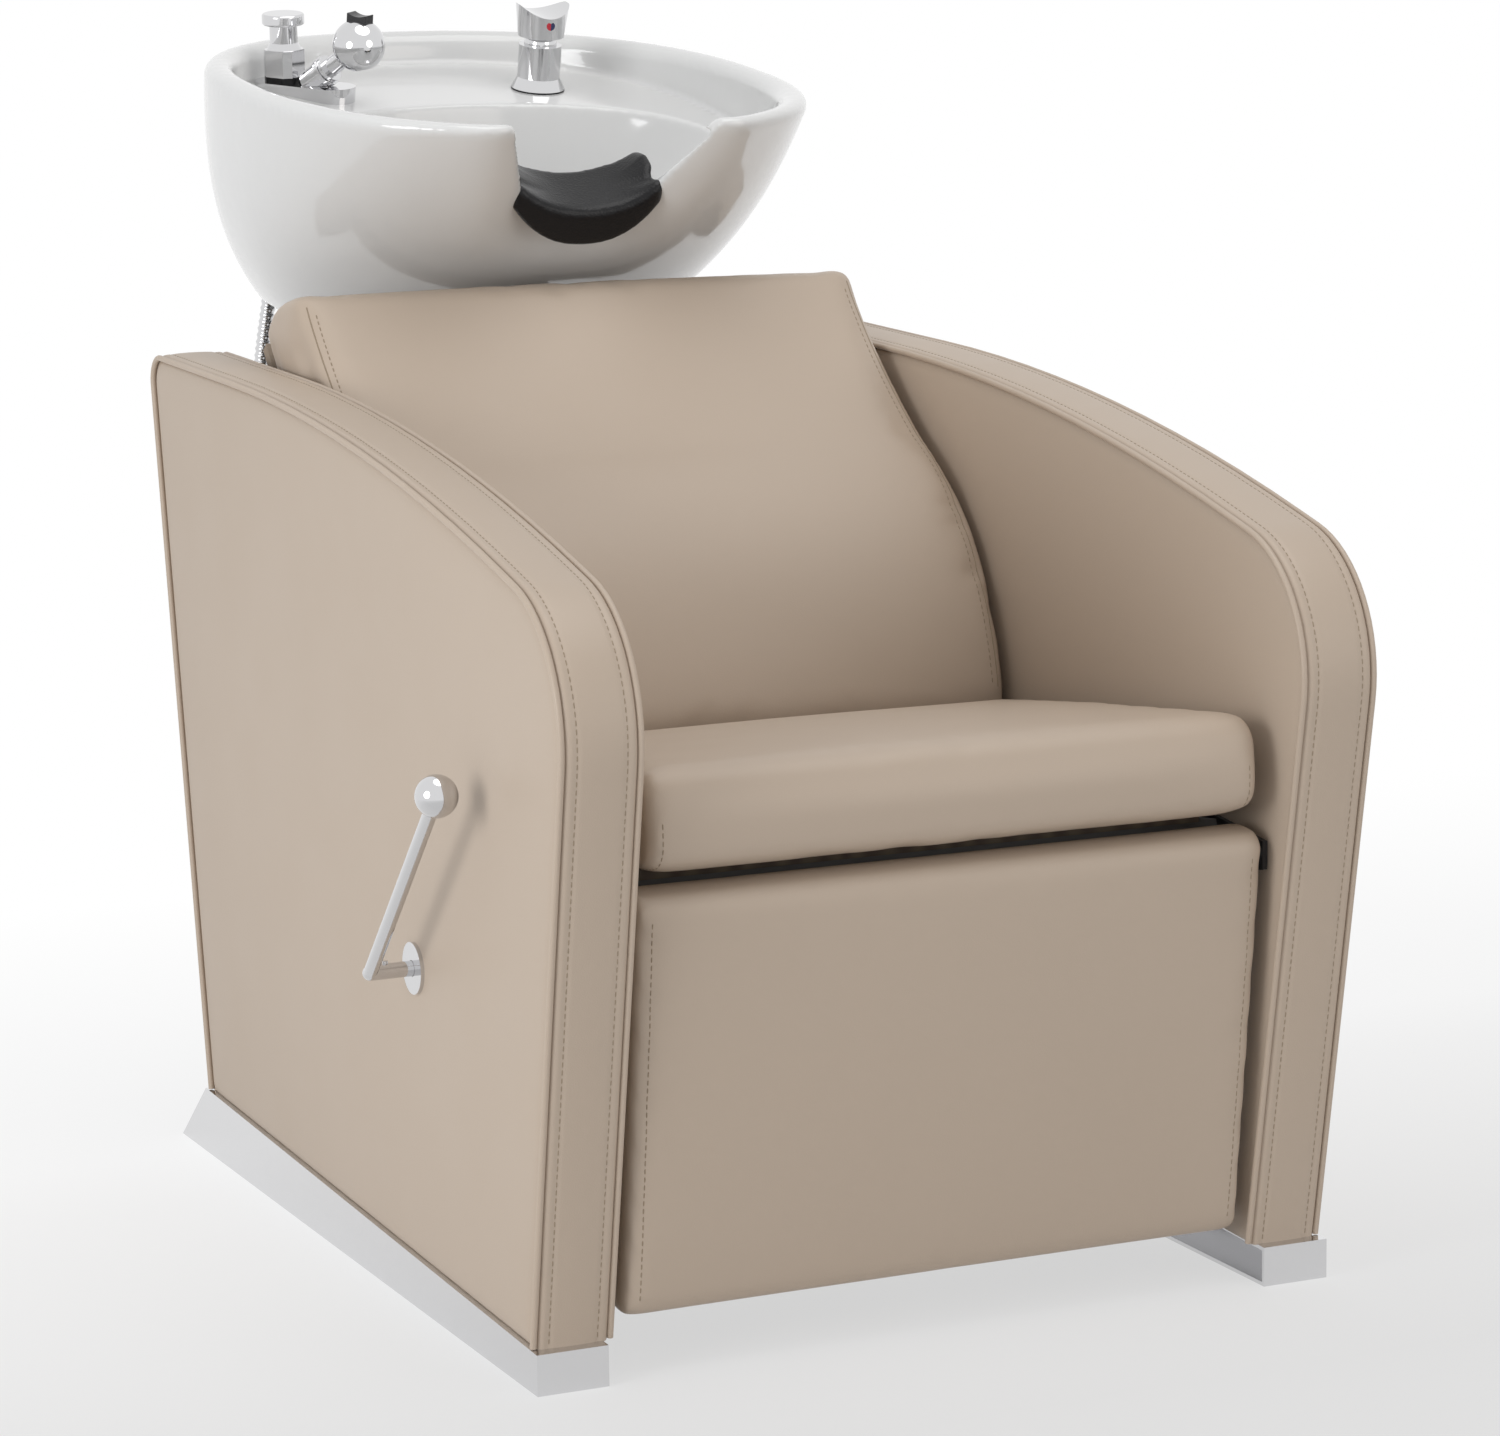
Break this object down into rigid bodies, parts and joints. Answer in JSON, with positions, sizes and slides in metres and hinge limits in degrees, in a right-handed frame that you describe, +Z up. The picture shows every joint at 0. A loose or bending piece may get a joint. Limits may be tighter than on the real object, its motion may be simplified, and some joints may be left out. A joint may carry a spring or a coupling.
{
  "type": "shampoo chair with bowl",
  "caption": "Salon shampoo chair: padded armchair with a lever-raised leg rest and leaned back, joined to a tilting ceramic wash bowl with mixer tap, neck rest and pull-out spray.",
  "frame": {"origin": "on the floor, midway between the two feet and midway along them", "axes": "+X to the right seen from the front, +Y to the back, +Z up"},
  "size_m": [0.712, 1.1977, 0.9749],
  "materials": {
    "vinyl": "satin",
    "cover": "matte",
    "wood": "matte",
    "chrome": "polished",
    "steel": "satin",
    "black_metal": "satin",
    "grey_metal": "satin",
    "ceramic": "gloss",
    "rubber": "gloss",
    "black_plastic": "gloss",
    "grey_plastic": "matte",
    "marker": "gloss"
  },
  "bodies": {
    "chair": {"arm_bands": "vinyl", "arm_frames": "wood", "arm_piping": "vinyl", "back_board": "wood", "back_cover": "cover", "back_cushion": "vinyl", "back_rails": "grey_metal", "bowl_column": "black_metal", "bowl_yoke": "black_metal", "foot_bolts": "steel", "left_foot": "chrome", "left_inner_panel": "vinyl", "left_outer_panel": "vinyl", "left_side_plate": "black_metal", "legrest_pins": "steel", "lever_bush": "steel", "lever_rosette": "chrome", "rear_rails": "grey_metal", "right_foot": "chrome", "right_inner_panel": "vinyl", "right_outer_panel": "vinyl", "right_side_plate": "black_metal", "seat_board": "wood", "seat_cushion": "vinyl", "seat_rails": "grey_metal", "side_plate_bolts": "steel", "tilt_pin": "steel"},
    "legrest": {"legrest_cushion": "vinyl", "legrest_board": "wood", "legrest_hinge_tube": "black_metal", "legrest_link_bracket": "black_metal"},
    "lever": {"lever_shaft": "chrome", "lever_rod": "chrome", "lever_knob": "chrome", "lever_set_screw": "steel", "lever_crank": "black_metal"},
    "leg_link": {"leg_link": "black_metal"},
    "bowl": {"bowl": "ceramic", "neck_rest": "rubber", "bowl_cradle": "black_metal", "drain_strainer": "chrome", "drain_nut": "chrome", "drain_tailpiece": "chrome", "mixer_body": "chrome", "mixer_gasket": "rubber", "deck_lock_nuts": "steel", "supply_inlets": "steel", "fixture_base": "chrome", "breaker_body": "chrome", "breaker_gasket": "rubber", "breaker_cap": "chrome", "breaker_tail": "steel", "hose_guide": "chrome", "spray_hose": "chrome"},
    "mixer_stem": {"mixer_cartridge": "chrome"},
    "mixer_handle": {"mixer_handle": "chrome", "mixer_indicator": "marker"},
    "spray": {"spray_head": "chrome", "spray_face": "grey_plastic"},
    "trigger": {"spray_trigger": "black_plastic"}
  },
  "joints": [
    {"name": "legrest_fold", "type": "hinge", "parent": "chair", "child": "legrest", "pos_m": [0, -0.42466, 0.34382], "axis": [-1, 0, 0], "range_deg": [0, 80]},
    {"name": "lever_swing", "type": "hinge", "parent": "chair", "child": "lever", "pos_m": [0, -0.1865, 0.27], "axis": [-1, 0, 0], "range_deg": [0, 80]},
    {"name": "link_pivot", "type": "hinge", "parent": "lever", "child": "leg_link", "pos_m": [0, -0.12905, 0.22179], "axis": [-1, 0, 0], "range_deg": [-80, 0]},
    {"name": "bowl_tilt", "type": "hinge", "parent": "chair", "child": "bowl", "pos_m": [0, 0.4165, 0.632], "axis": [-1, 0, 0], "range_deg": [-5, 12]},
    {"name": "mixer_swivel", "type": "hinge", "parent": "bowl", "child": "mixer_stem", "pos_m": [0.091, 0.57693, 0.89626], "axis": [0, -0.2096, 0.9778], "range_deg": [-45, 45]},
    {"name": "mixer_lift", "type": "hinge", "parent": "mixer_stem", "child": "mixer_handle", "pos_m": [0.091, 0.56823, 0.93684], "axis": [-1, 0, 0], "range_deg": [0, 18]},
    {"name": "spray_pull", "type": "slide", "parent": "bowl", "child": "spray", "axis": [0.4329, -0.742, 0.5119], "range_m": [0, 0.04]},
    {"name": "trigger_press", "type": "slide", "parent": "spray", "child": "trigger", "axis": [0, 0.2096, -0.9778], "range_m": [0, 0.003], "stiffness_N_per_m": 350, "springref_m": -0.002}
  ],
  "couplings": [
    {"joint": "lever_swing", "follows": "legrest_fold", "ratio": 1},
    {"joint": "link_pivot", "follows": "legrest_fold", "ratio": -1}
  ]
}
